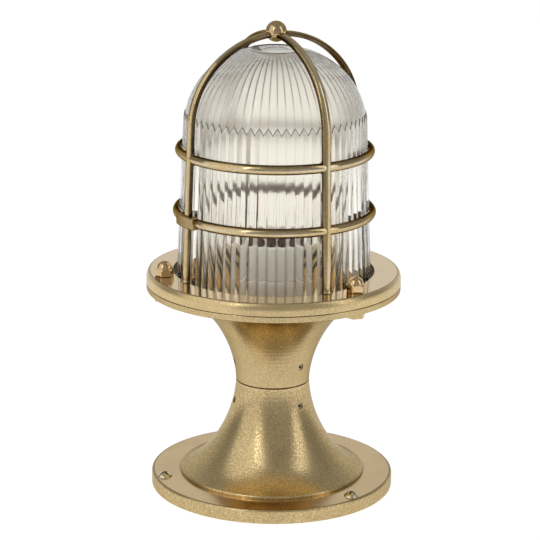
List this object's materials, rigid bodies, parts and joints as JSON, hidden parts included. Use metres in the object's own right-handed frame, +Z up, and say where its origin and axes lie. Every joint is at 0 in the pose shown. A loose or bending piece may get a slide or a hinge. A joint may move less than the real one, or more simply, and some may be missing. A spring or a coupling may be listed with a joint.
{
  "type": "pedestal light",
  "caption": "Brass pedestal light: round foot, waisted hollow column and ring flange, with a reeded clear glass dome under a clamp ring that carries a ribbed guard with a ball on top.",
  "frame": {"origin": "centre of the foot's flat underside", "axes": "+Z up along the column's axis, -Y towards the front of the picture"},
  "size_m": [0.15, 0.15, 0.2799],
  "materials": {
    "cast_brass": "satin, lightly mottled cast and turned brass",
    "bright_brass": "polished brass",
    "steel": "zinc-plated steel",
    "rubber": "matt black rubber",
    "porcelain": "white glazed porcelain",
    "clear_glass": "clear pressed glass with vertical reeds"
  },
  "bodies": {
    "pedestal": {"lower_pedestal": "cast_brass", "base_screws": "bright_brass", "joining_sleeve": "cast_brass", "lower_grub_screws": "steel", "upper_grub_screws": "steel", "upper_pedestal": "cast_brass", "ring_bolts": "cast_brass", "holder_plate": "cast_brass", "plate_screws": "steel", "earth_screw": "bright_brass", "cable_grommet": "rubber", "lamp_holder": "porcelain", "threaded_shell": "bright_brass", "centre_contact": "bright_brass", "holder_screws": "steel", "lower_gasket": "rubber"},
    "glass": {"glass_dome": "clear_glass"},
    "guard": {"clamp_ring": "cast_brass", "upper_gasket": "rubber", "guard_rib_1": "cast_brass", "guard_rib_2": "cast_brass", "guard_rib_3": "cast_brass", "guard_rib_4": "cast_brass", "upper_guard_ring": "cast_brass", "lower_guard_ring": "cast_brass", "plain_pad": "cast_brass", "ball_finial": "bright_brass"},
    "nut_1": {"cap_nut_1": "bright_brass"},
    "nut_2": {"cap_nut_2": "bright_brass"},
    "nut_3": {"cap_nut_3": "bright_brass"}
  },
  "joints": [
    {"name": "glass_lift", "type": "slide", "parent": "pedestal", "child": "glass", "axis": [0, 0, 1], "range_m": [0, 0.11]},
    {"name": "guard_lift", "type": "slide", "parent": "glass", "child": "guard", "axis": [0, 0, 1], "range_m": [0, 0.145]},
    {"name": "cap_nut_turn_1", "type": "hinge", "parent": "guard", "child": "nut_1", "pos_m": [0.0466, -0.0466, 0.1324], "axis": [0, 0, 1], "continuous": true},
    {"name": "cap_nut_turn_2", "type": "hinge", "parent": "guard", "child": "nut_2", "pos_m": [-0.06366, -0.01706, 0.1324], "axis": [0, 0, 1], "continuous": true},
    {"name": "cap_nut_turn_3", "type": "hinge", "parent": "guard", "child": "nut_3", "pos_m": [0.01706, 0.06366, 0.1324], "axis": [0, 0, 1], "continuous": true}
  ]
}
